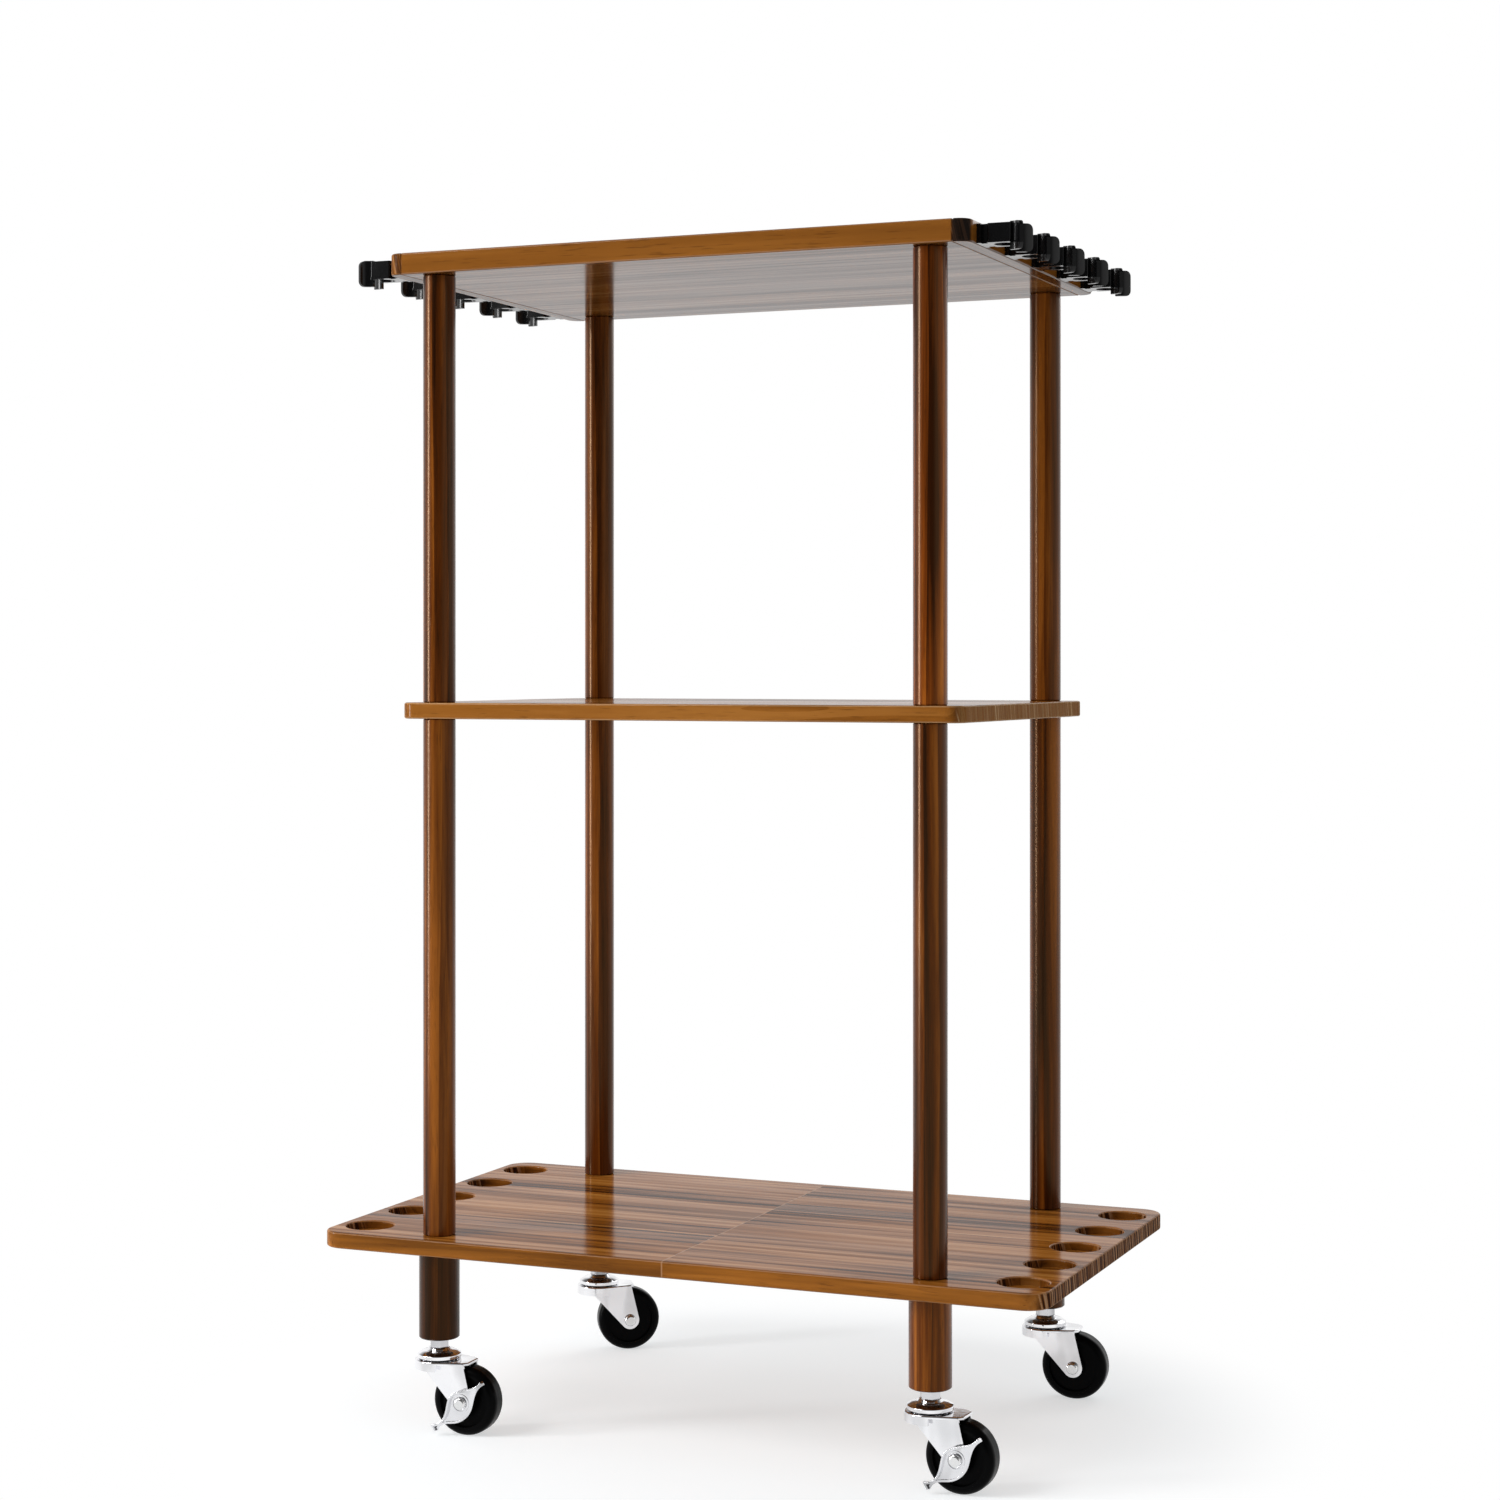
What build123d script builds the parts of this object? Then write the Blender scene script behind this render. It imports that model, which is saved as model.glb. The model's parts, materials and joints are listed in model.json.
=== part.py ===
from build123d import *
import os
from math import cos, radians, sin

# Rolling fishing rod rack. Three wooden shelves on round posts, plastic rod clips on
# the two rails of the top shelf, butt recesses in the bottom board, four swivel casters.
# Millimetres, Z up, origin on the floor under the middle of the rack, front towards -Y.

os.makedirs("parts", exist_ok=True)

# Rod places
rods_per_side = 5
rod_pitch = 64

# Top shelf and its side rails
top_length = 428
top_thickness = 16
rail_end_margin = 28      # from the outermost rod to the end of the rail
rail_width = 12
rail_corner = 10
joint_bevel = 0.8         # shadow line where a rail meets the main board

# Middle shelf
middle_margin_x = 27      # from a post's axis to the shelf's end
middle_margin_y = 13.5
middle_thickness = 12
middle_corner = 12

# Bottom board, two halves butted at the middle
butt_side_margin = 25     # from a recess's centre to the board's end
butt_end_margin = 34
bottom_thickness = 12
bottom_corner = 18
recess_diameter = 36
recess_depth = 6
recess_rim = 1.2
edge_easing = 1.5

# Posts and legs
post_inset_x = 22         # from the main top board's end to a post's axis
post_inset_y = 19
post_diameter = 24
upper_post_length = 316
lower_post_length = 382
leg_diameter = 30
leg_length = 64
turned_end_bevel = 0.8

# Studs, threaded inserts and dowels
stud_diameter = 8
stud_bite = 20            # how far a stud goes into a post or a leg
insert_diameter = 11
insert_length = 12
stem_end_room = 4         # free bore above a caster's stem
board_dowel_diameter = 8
board_dowel_length = 30
board_dowel_pitch = 75
board_dowels = 4
rail_dowel_diameter = 6
rail_dowel_bite = 12      # into the main board
rail_dowel_cover = 4      # wood left outside the dowel in the rail

# Rod clips, measured outwards from the rail's face
clip_height = 13.5
clip_rise = 7             # from the rail's underside to the clip's mid height
clip_base_thickness = 3
clip_base_width = 22
clip_neck_length = 4.3
clip_neck_width = 15
clip_back_wall = 2.2
pocket_radius = 7.5
jaw_wall = 3
jaw_reach = 7.2           # from the pocket's centre to the jaw's end
throat_width = 10.4
jaw_corner = 1.5
clip_rim = 0.9
clip_rim_height = 1.6
lip_thickness = 2.6
lip_length = 9.5
lip_flare = 5.5
lip_drop = 5              # below the jaw
lip_lift = 1
lip_corner = 4.5
rod_lean = 13             # how much further out the recess is than the clip's pocket
screw_shank_diameter = 3.5
screw_shank_clearance = 0.2
screw_head_diameter = 7
screw_head_height = 2.2
screw_head_clearance = 0.3
screw_cover = 3           # wood left behind the screw's point

# Casters
wheel_diameter = 50.8
wheel_width = 18
wheel_corner = 5.5
hub_width = 19.2
hub_diameter = 17
web_width = 13
rim_depth = 6.5
caster_trail = 24
fork_steel = 2
fork_side_clearance = 0.4
fork_top_clearance = 1.5
fork_swivel_radius = 18
fork_rear = 28
fork_rear_corner = 4
fork_skirt = 5
fork_skirt_end = 5
leg_plate_front = 11
leg_plate_rear = 25
leg_plate_end_radius = 7.5
bushing_diameter = 9
axle_diameter = 6
wheel_bore_clearance = 0.08
bolt_head_diameter = 9.6
bolt_head_height = 3
bolt_head_rounding = 2.2
axle_nut_width = 10
axle_nut_height = 5
axle_end = 1.8
hex_bevel = 0.6
kingpin_head_diameter = 12
kingpin_head_height = 2
swivel_clearance = 0.1
ball_diameter = 3.9
balls_per_caster = 8
ball_circle_radius = 11
ball_play = 0.05
cup_steel = 1.5
cup_radius = 16.2
cup_boss_radius = 7.6
cup_boss_rise = 2.8       # of the cup's middle above its ball track
cup_shoulder = 0.6        # rise of the step outside the boss
cup_edge_drop = 0.4       # fall of the rim's outer edge below the ball track
cup_rim_depth = 1.2
cup_rim_gap = 0.9
hex_width = 13
hex_height = 7
stem_length = 15

# Brake levers of the front casters
lever_steel = 1.5
lever_clearance = 0.2
lever_boss_radius = 8
lever_ring_radius = 6.8
lever_ring_width = 1.1
lever_ring_height = 0.6
lever_upper_edge = ((17.6, 17), (8.6, 11.2), (-7.4, 4.2), (-10.2, -5), (-13, -12.5), (-22, -17.5))
lever_lower_edge = ((-19.5, -21.5), (-12.5, -15.4), (-3, -13.8), (8.2, -4.6), (10.6, 3.6), (18.6, 15.8))
lever_flange = 2.6        # height of the edge bent outwards along the upper side
lever_rim = 0.9           # height of the pressed rim along the lower side
lever_edge_rounding = 0.3

# How far each caster is swivelled, in degrees from trailing towards +X
swivel_angles = {"front_left": 2, "front_right": -3, "rear_left": 34, "rear_right": 4}
corner_signs = {
    "front_left": (-1, -1),
    "front_right": (1, -1),
    "rear_left": (-1, 1),
    "rear_right": (1, 1),
}
side_signs = {"left": -1, "right": 1}
braked = ("front_left", "front_right")

# Places along the depth of the rack
rod_ys = [(i - (rods_per_side - 1) / 2) * rod_pitch for i in range(rods_per_side)]
rail_dowel_ys = [y + rod_pitch / 2 for y in rod_ys[:-1]]
rod_span = rod_ys[-1] - rod_ys[0]
top_depth = rod_span + 2 * rail_end_margin
bottom_depth = rod_span + 2 * butt_end_margin
post_x = top_length / 2 - post_inset_x
post_y = top_depth / 2 - post_inset_y
middle_length = 2 * (post_x + middle_margin_x)
middle_depth = 2 * (post_y + middle_margin_y)

# Places along the length of the rack
rail_face = top_length / 2 + rail_width
screw_seat = clip_base_thickness + clip_neck_length
pocket_x = screw_seat + clip_back_wall + pocket_radius
recess_x = rail_face + pocket_x + rod_lean
bottom_length = 2 * (recess_x + butt_side_margin)

# Heights, from the floor up
wheel_radius = wheel_diameter / 2
plate_bottom = wheel_diameter + fork_top_clearance
plate_top = plate_bottom + fork_steel
cup_track = plate_top + ball_diameter + 2 * ball_play
cup_top = cup_track + cup_boss_rise + cup_steel
leg_bottom = cup_top + hex_height
bottom_under = leg_bottom + leg_length
bottom_top = bottom_under + bottom_thickness
middle_under = bottom_top + lower_post_length
middle_top = middle_under + middle_thickness
top_under = middle_top + upper_post_length
top_top = top_under + top_thickness

# Widths across a caster
fork_gap = hub_width + 2 * fork_side_clearance
fork_width = fork_gap + 2 * fork_steel
lever_stack = lever_steel + 2 * lever_clearance

post_places = [(sx * post_x, sy * post_y) for sx, sy in corner_signs.values()]


def save(piece, name):
    piece.part.label = name
    export_step(piece.part, f"parts/{name}.step")


def outer_rims(board):
    # Upper and lower outer edges of a board, after its corners are rounded
    faces = board.faces().sort_by(Axis.Z)
    return faces[-1].outer_wire().edges() + faces[0].outer_wire().edges()


def joint_plane(sign):
    # Upright plane between the main top board and a rail, facing outwards
    return Plane((sign * top_length / 2, 0, top_under + top_thickness / 2),
                 x_dir=(0, 1, 0), z_dir=(sign, 0, 0))


# Main board of the top shelf
with BuildPart() as top_shelf:
    with BuildSketch(Plane.XY.offset(top_under)):
        Rectangle(top_length, top_depth)
    extrude(amount=top_thickness)
    fillet(top_shelf.edges().filter_by(Axis.X), radius=edge_easing)
    chamfer(top_shelf.edges().filter_by(Axis.Y).group_by(Axis.Z)[0], length=joint_bevel)
    with BuildSketch(Plane.XY.offset(top_under)):
        with Locations(*post_places):
            Circle(insert_diameter / 2)
    extrude(amount=insert_length, mode=Mode.SUBTRACT)
    for sign in side_signs.values():
        with BuildSketch(joint_plane(sign)):
            with Locations(*[(y, 0) for y in rail_dowel_ys]):
                Circle(rail_dowel_diameter / 2)
        extrude(amount=-rail_dowel_bite, mode=Mode.SUBTRACT)
save(top_shelf, "top_shelf")

# Side rails of the top shelf, which carry the clips
clip_z = top_under + clip_rise
for side, sign in side_signs.items():
    inner_face = sign * top_length / 2
    outer_face = sign * rail_face
    with BuildPart() as rail:
        with BuildSketch(Plane.XY.offset(top_under)):
            with Locations(((inner_face + outer_face) / 2, 0)):
                Rectangle(rail_width, top_depth)
        extrude(amount=top_thickness)
        outer_corners = rail.edges().filter_by(Axis.Z).group_by(Axis.X)[-1 if sign > 0 else 0]
        fillet(outer_corners, radius=min(rail_corner, rail_width - edge_easing))
        rims = rail.faces().filter_by(Axis.Z).edges()
        fillet(rims.filter_by(lambda e: abs(e.center().X - inner_face) > joint_bevel), radius=edge_easing)
        inner_edge = rail.edges().filter_by(Axis.Y).group_by(Axis.Z)[0].sort_by(Axis.X)
        chamfer(inner_edge[0 if sign > 0 else -1], length=joint_bevel)
        with BuildSketch(joint_plane(sign)):
            with Locations(*[(y, 0) for y in rail_dowel_ys]):
                Circle(rail_dowel_diameter / 2)
        extrude(amount=rail_width - rail_dowel_cover, mode=Mode.SUBTRACT)
        with BuildSketch(Plane((outer_face, 0, clip_z), x_dir=(0, 1, 0), z_dir=(sign, 0, 0))):
            with Locations(*[(y, 0) for y in rod_ys]):
                Circle(screw_shank_diameter / 2)
        extrude(amount=-(rail_width - screw_cover), mode=Mode.SUBTRACT)
    save(rail, f"top_rail_{side}")

# Dowels between the rails and the main board
with BuildPart() as rail_dowels:
    for sign in side_signs.values():
        with BuildSketch(joint_plane(sign).offset(-rail_dowel_bite)):
            with Locations(*[(y, 0) for y in rail_dowel_ys]):
                Circle(rail_dowel_diameter / 2)
        extrude(amount=rail_dowel_bite + rail_width - rail_dowel_cover)
save(rail_dowels, "rail_dowels")

# Middle shelf
with BuildPart() as middle_shelf:
    with BuildSketch(Plane.XY.offset(middle_under)):
        RectangleRounded(middle_length, middle_depth, middle_corner)
    extrude(amount=middle_thickness)
    fillet(outer_rims(middle_shelf), radius=edge_easing)
    with BuildSketch(Plane.XY.offset(middle_under)):
        with Locations(*post_places):
            Circle(stud_diameter / 2)
    extrude(amount=middle_thickness, mode=Mode.SUBTRACT)
save(middle_shelf, "middle_shelf")

# Bottom board, one half at a time
board_dowel_ys = [(i - (board_dowels - 1) / 2) * board_dowel_pitch for i in range(board_dowels)]
seam_plane = Plane((0, 0, bottom_under + bottom_thickness / 2), x_dir=(0, 1, 0), z_dir=(1, 0, 0))
for side, sign in side_signs.items():
    with BuildPart() as half:
        with BuildSketch(Plane.XY.offset(bottom_under)):
            RectangleRounded(bottom_length, bottom_depth, bottom_corner)
            with Locations((-sign * bottom_length / 2, 0)):
                Rectangle(bottom_length, bottom_depth, mode=Mode.SUBTRACT)
        extrude(amount=bottom_thickness)
        rims = outer_rims(half)
        fillet(rims.filter_by(lambda e: abs(e.center().X) > edge_easing), radius=edge_easing)
        with BuildSketch(Plane.XY.offset(bottom_top)):
            with Locations(*[(sign * recess_x, y) for y in rod_ys]):
                Circle(recess_diameter / 2)
        extrude(amount=-recess_depth, mode=Mode.SUBTRACT)
        recess_edges = half.edges().filter_by(GeomType.CIRCLE).filter_by(
            lambda e: abs(e.radius - recess_diameter / 2) < recess_rim)
        fillet(recess_edges.group_by(Axis.Z)[-1], radius=recess_rim)
        with BuildSketch(Plane.XY.offset(bottom_under)):
            with Locations((sign * post_x, -post_y), (sign * post_x, post_y)):
                Circle(stud_diameter / 2)
        extrude(amount=bottom_thickness, mode=Mode.SUBTRACT)
        with BuildSketch(seam_plane):
            with Locations(*[(y, 0) for y in board_dowel_ys]):
                Circle(board_dowel_diameter / 2)
        extrude(amount=sign * board_dowel_length / 2, mode=Mode.SUBTRACT)
    save(half, f"bottom_board_{side}")

# Dowels across the seam of the bottom board
with BuildPart() as seam_dowels:
    with BuildSketch(seam_plane):
        with Locations(*[(y, 0) for y in board_dowel_ys]):
            Circle(board_dowel_diameter / 2)
    extrude(amount=board_dowel_length / 2, both=True)
save(seam_dowels, "board_dowels")


def turned_post(x, y, bottom, length, diameter):
    # A round post with bevelled ends and a blind stud bore in each end
    with BuildPart() as post:
        with BuildSketch(Plane((x, y, bottom))):
            Circle(diameter / 2)
        extrude(amount=length)
        chamfer(post.faces().filter_by(Axis.Z).edges(), length=turned_end_bevel)
        for end, way in ((bottom, 1), (bottom + length, -1)):
            with BuildSketch(Plane((x, y, end))):
                Circle(stud_diameter / 2)
            extrude(amount=way * stud_bite, mode=Mode.SUBTRACT)
    return post


def turned_leg(x, y):
    # A leg takes a stud from above, and a threaded insert for the caster's stem from below
    with BuildPart() as leg:
        with BuildSketch(Plane((x, y, leg_bottom))):
            Circle(leg_diameter / 2)
        extrude(amount=leg_length)
        chamfer(leg.faces().filter_by(Axis.Z).edges(), length=turned_end_bevel)
        with BuildSketch(Plane((x, y, bottom_under))):
            Circle(stud_diameter / 2)
        extrude(amount=-stud_bite, mode=Mode.SUBTRACT)
        with BuildSketch(Plane((x, y, leg_bottom))):
            Circle(insert_diameter / 2)
        extrude(amount=insert_length, mode=Mode.SUBTRACT)
        with BuildSketch(Plane((x, y, leg_bottom))):
            Circle(stud_diameter / 2)
        extrude(amount=max(stem_length, insert_length) + stem_end_room, mode=Mode.SUBTRACT)
    return leg


for corner, (x, y) in zip(corner_signs, post_places):
    save(turned_post(x, y, middle_top, upper_post_length, post_diameter), f"upper_post_{corner}")
    save(turned_post(x, y, bottom_top, lower_post_length, post_diameter), f"lower_post_{corner}")
    save(turned_leg(x, y), f"leg_{corner}")

# Studs that clamp each shelf between the posts above and below it
with BuildPart() as post_studs:
    for under, thickness in ((bottom_under, bottom_thickness), (middle_under, middle_thickness)):
        with BuildSketch(Plane.XY.offset(under - stud_bite)):
            with Locations(*post_places):
                Circle(stud_diameter / 2)
        extrude(amount=thickness + 2 * stud_bite)
save(post_studs, "post_studs")

# Studs from the upper posts into the top shelf
with BuildPart() as top_studs:
    with BuildSketch(Plane.XY.offset(top_under - stud_bite)):
        with Locations(*post_places):
            Circle(stud_diameter / 2)
    extrude(amount=stud_bite + insert_length)
save(top_studs, "top_studs")

# Brass inserts, four in the top shelf and four in the legs
with BuildPart() as inserts:
    for seat in (top_under, leg_bottom):
        with BuildSketch(Plane.XY.offset(seat)):
            with Locations(*post_places):
                Circle(insert_diameter / 2)
                Circle(stud_diameter / 2, mode=Mode.SUBTRACT)
        extrude(amount=insert_length)
save(inserts, "threaded_inserts")


def rod_clip(frame):
    # frame stands on the rail's face at the clip's mid height, its X pointing outwards
    jaw_half = pocket_radius + jaw_wall
    jaw_end = pocket_x + jaw_reach
    low = -clip_height / 2
    with BuildPart() as clip:
        with BuildSketch(frame.offset(low)):
            with Locations((clip_base_thickness / 2, 0)):
                Rectangle(clip_base_thickness, clip_base_width)
            with Locations((screw_seat / 2, 0)):
                Rectangle(screw_seat, clip_neck_width)
        extrude(amount=clip_height)
        with BuildSketch(frame.offset(low)) as jaws:
            with Locations(((screw_seat + jaw_end) / 2, 0)):
                Rectangle(jaw_end - screw_seat, 2 * jaw_half)
            fillet(jaws.vertices(), radius=jaw_corner)
        extrude(amount=clip_height)
        with BuildSketch(frame.offset(low)) as rim:
            with Locations(((screw_seat + jaw_end) / 2, 0)):
                Rectangle(jaw_end - screw_seat, 2 * (jaw_half + clip_rim))
            fillet(rim.vertices(), radius=jaw_corner)
        extrude(amount=clip_rim_height)
        with BuildSketch(frame.offset(low - lip_drop)):
            for way in (-1, 1):
                root = (jaw_end - lip_thickness / 2, way * (throat_width / 2 + lip_thickness / 2))
                tip = (root[0] + lip_length, root[1] + way * lip_flare)
                with BuildLine():
                    TangentArc(root, tip, tangent=(1, 0))
                trace(line_width=lip_thickness)
        extrude(amount=clip_height + lip_drop + lip_lift)
        ends = clip.faces().sort_by(Axis(frame.origin, frame.x_dir))[-2:].edges()
        lip_ends = ends.filter_by(lambda e: abs(e.length - lip_thickness) < 0.01)
        fillet(lip_ends, radius=lip_corner)
        with BuildSketch(frame.offset(low - lip_drop)):
            with Locations((pocket_x, 0)):
                Circle(pocket_radius)
            with Locations((pocket_x + lip_length, 0)):
                Rectangle(2 * lip_length, throat_width)
        extrude(amount=clip_height + lip_drop + lip_lift, mode=Mode.SUBTRACT)
        seat = Plane(frame.from_local_coords(Vector(screw_seat, 0, 0)), z_dir=frame.x_dir)
        with BuildSketch(seat):
            Circle(screw_head_diameter / 2 + screw_head_clearance)
        extrude(amount=clip_back_wall + pocket_radius, mode=Mode.SUBTRACT)
        with BuildSketch(seat):
            Circle(screw_shank_diameter / 2 + screw_shank_clearance)
        extrude(amount=-screw_seat, mode=Mode.SUBTRACT)
    return clip


for side, sign in side_signs.items():
    for number, y in enumerate(rod_ys, start=1):
        frame = Plane((sign * rail_face, y, clip_z), x_dir=(sign, 0, 0), z_dir=(0, 0, 1))
        save(rod_clip(frame), f"rod_clip_{side}_{number}")
    with BuildPart() as screws:
        for y in rod_ys:
            seat = Plane((sign * (rail_face + screw_seat), y, clip_z), z_dir=(sign, 0, 0))
            with BuildSketch(seat):
                Circle(screw_head_diameter / 2)
            extrude(amount=screw_head_height)
            with BuildSketch(seat):
                Circle(screw_shank_diameter / 2)
            extrude(amount=-(screw_seat + rail_width - screw_cover))
    save(screws, f"clip_screws_{side}")


def caster_stem(base):
    # Threaded stem, hexagon and kingpin in one piece, with the riveted head under the fork
    with BuildPart() as stem:
        with BuildSketch(base.offset(plate_bottom - swivel_clearance - kingpin_head_height)):
            Circle(kingpin_head_diameter / 2)
        extrude(amount=kingpin_head_height)
        chamfer(stem.edges().group_by(Axis.Z)[0], length=hex_bevel)
        with BuildSketch(base.offset(plate_bottom - swivel_clearance)):
            Circle(stud_diameter / 2)
        extrude(amount=leg_bottom + stem_length - plate_bottom + swivel_clearance)
        chamfer(stem.edges().group_by(Axis.Z)[-1], length=hex_bevel)
        with BuildSketch(base.offset(cup_top)):
            RegularPolygon(hex_width / 2, 6, major_radius=False)
        extrude(amount=hex_height)
    return stem


def swivel_cup(base):
    # Pressed raceway above the balls, stepped down from its boss to a rolled rim
    half = Plane(base.origin, x_dir=base.x_dir, z_dir=-base.y_dir)
    rim_bottom = plate_top + cup_rim_gap
    track_outer = ball_circle_radius + ball_diameter / 2
    inner_radius = cup_radius - cup_steel
    with BuildPart() as cup:
        with BuildSketch(half):
            with BuildLine():
                Polyline(
                    (stud_diameter / 2, cup_top),
                    (cup_boss_radius, cup_top),
                    (cup_boss_radius + cup_steel, cup_track + cup_steel + cup_shoulder),
                    (track_outer, cup_track + cup_steel),
                    (cup_radius, cup_track - cup_edge_drop),
                    (cup_radius, rim_bottom),
                    (inner_radius, rim_bottom),
                    (inner_radius, cup_track - cup_rim_depth),
                    (track_outer, cup_track),
                    (ball_circle_radius - ball_diameter / 2, cup_track),
                    (cup_boss_radius - cup_steel / 2, cup_top - cup_steel),
                    (stud_diameter / 2, cup_top - cup_steel),
                    close=True,
                )
            make_face()
        revolve(axis=Axis(base.origin, (0, 0, 1)))
    return cup


def caster_fork(base, axle):
    # Pressed fork: a round swivel plate with a skirt, and two legs down to the axle
    def outline(shrink):
        with BuildSketch(mode=Mode.PRIVATE) as shape:
            Circle(fork_swivel_radius - shrink)
            with Locations(((fork_rear - fork_rear_corner - shrink) / 2, 0)):
                Rectangle(fork_rear - fork_rear_corner - shrink, fork_width - 2 * shrink)
            with Locations(((fork_rear - shrink) / 2, 0)):
                Rectangle(fork_rear - shrink, fork_width - 2 * fork_rear_corner)
            make_hull()
        return shape.sketch

    with BuildPart() as fork:
        with BuildSketch(base.offset(plate_bottom)):
            add(outline(0))
        extrude(amount=fork_steel)
        fillet(fork.faces().sort_by(Axis.Z)[-1].edges(), radius=fork_steel / 2)
        with BuildSketch(base.offset(plate_bottom)):
            add(outline(0))
            add(outline(fork_steel), mode=Mode.SUBTRACT)
            with Locations((fork_skirt_end + fork_rear / 2, 0)):
                Rectangle(fork_rear, 4 * fork_swivel_radius, mode=Mode.SUBTRACT)
        extrude(amount=-fork_skirt)
        for inner in (fork_gap / 2, -fork_width / 2):
            with BuildSketch(axle.offset(inner)):
                Circle(leg_plate_end_radius)
                rise = plate_bottom - wheel_radius
                front = -leg_plate_front - caster_trail
                rear = leg_plate_rear - caster_trail
                with Locations(((front + rear) / 2, rise)):
                    Rectangle(rear - front, fork_steel / 2, align=(Align.CENTER, Align.MIN))
                make_hull()
            extrude(amount=fork_steel)
        with BuildSketch(base.offset(plate_bottom)):
            Circle(stud_diameter / 2 + swivel_clearance)
        extrude(amount=fork_steel, mode=Mode.SUBTRACT)
        with BuildSketch(axle):
            Circle(axle_diameter / 2)
        extrude(amount=fork_width, both=True, mode=Mode.SUBTRACT)
    return fork


def axle_set(axle, stack):
    # Bolt with its domed head on the near side, bushing between the legs, nut on the far side
    head_seat = fork_width / 2 + stack
    nut_seat = -fork_width / 2
    with BuildPart() as bolt:
        with BuildSketch(axle.offset(head_seat)):
            Circle(axle_diameter / 2)
        extrude(amount=nut_seat - axle_nut_height - axle_end - head_seat)
        with BuildSketch(axle.offset(head_seat)):
            Circle(bolt_head_diameter / 2)
        extrude(amount=bolt_head_height)
        crown = bolt.edges().sort_by(Axis(axle.origin, axle.z_dir))[-1]
        fillet(crown, radius=bolt_head_rounding)
    with BuildPart() as bushing:
        with BuildSketch(axle.offset(-fork_gap / 2)):
            Circle(bushing_diameter / 2)
            Circle(axle_diameter / 2, mode=Mode.SUBTRACT)
        extrude(amount=fork_gap)
    with BuildPart() as nut:
        with BuildSketch(axle.offset(nut_seat)):
            RegularPolygon(axle_nut_width / 2, 6, major_radius=False)
            Circle(axle_diameter / 2, mode=Mode.SUBTRACT)
        extrude(amount=-axle_nut_height)
    return bolt, bushing, nut


def caster_wheel(axle):
    # Moulded wheel: crowned tyre, recessed web and a hub that runs on the bushing
    profile = Plane(axle.origin, x_dir=axle.z_dir, z_dir=axle.x_dir)
    bore = bushing_diameter / 2 + wheel_bore_clearance
    with BuildPart() as wheel:
        with BuildSketch(profile) as section:
            with Locations((0, bore)):
                Rectangle(hub_width, hub_diameter / 2 - bore, align=(Align.CENTER, Align.MIN))
                Rectangle(web_width, wheel_radius - rim_depth / 2 - bore, align=(Align.CENTER, Align.MIN))
            with Locations((0, wheel_radius)):
                Rectangle(wheel_width, rim_depth, align=(Align.CENTER, Align.MAX))
            fillet(section.vertices().group_by(Axis.Y)[-1], radius=wheel_corner)
        revolve(axis=Axis(axle.origin, axle.z_dir))
    return wheel


def brake_lever(axle):
    # Pressed S-shaped lever on the axle bolt, with both long edges and its foot bent outwards
    face = axle.offset(fork_width / 2 + lever_clearance)
    with BuildPart() as lever:
        with BuildSketch(face):
            with BuildLine():
                upper = Spline(*lever_upper_edge)
                Line(upper @ 1, lever_lower_edge[0])
                lower = Spline(*lever_lower_edge)
                Line(lower @ 1, upper @ 0)
            make_face()
            Circle(lever_boss_radius)
        extrude(amount=lever_steel)
        with BuildSketch(face):
            with BuildLine():
                upper = Spline(*lever_upper_edge)
                Line(upper @ 1, lever_lower_edge[0])
            trace(line_width=lever_steel)
        extrude(amount=lever_steel + lever_flange)
        crest = lever.faces().sort_by(Axis(face.origin, face.z_dir))[-1]
        fillet(crest.edges(), radius=lever_edge_rounding)
        with BuildSketch(face):
            with BuildLine():
                Spline(*lever_lower_edge)
            trace(line_width=lever_steel)
        extrude(amount=lever_steel + lever_rim)
        with BuildSketch(face.offset(lever_steel)):
            Circle(lever_ring_radius)
            Circle(lever_ring_radius - lever_ring_width, mode=Mode.SUBTRACT)
        extrude(amount=lever_ring_height)
        with BuildSketch(face):
            Circle(axle_diameter / 2 + swivel_clearance)
        extrude(amount=lever_steel, mode=Mode.SUBTRACT)
    return lever


for corner, (x, y) in zip(corner_signs, post_places):
    turn = radians(swivel_angles[corner])
    trail_way = Vector(cos(turn), sin(turn), 0)
    base = Plane((x, y, 0), x_dir=trail_way, z_dir=(0, 0, 1))
    axle_centre = Vector(x, y, wheel_radius) + trail_way * caster_trail
    axle = Plane(axle_centre, x_dir=trail_way, z_dir=-base.y_dir)
    stack = lever_stack if corner in braked else 0
    save(caster_stem(base), f"caster_stem_{corner}")
    save(swivel_cup(base), f"caster_cup_{corner}")
    save(caster_fork(base, axle), f"caster_fork_{corner}")
    bolt, bushing, nut = axle_set(axle, stack)
    axle_pieces = Compound(label=f"caster_axle_{corner}", children=[bolt.part, bushing.part, nut.part])
    export_step(axle_pieces, f"parts/caster_axle_{corner}.step")
    save(caster_wheel(axle), f"caster_wheel_{corner}")
    if corner in braked:
        save(brake_lever(axle), f"brake_lever_{corner}")

# Steel balls between the cups and the forks
with BuildPart() as balls:
    for x, y in post_places:
        with Locations((x, y, plate_top + ball_play + ball_diameter / 2)):
            with PolarLocations(ball_circle_radius, balls_per_caster):
                Sphere(ball_diameter / 2)
save(balls, "swivel_balls")

print("rack", round(bottom_length, 1), "x", round(bottom_depth, 1), "x", round(top_top, 1))
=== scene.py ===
import json
import math

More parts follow.
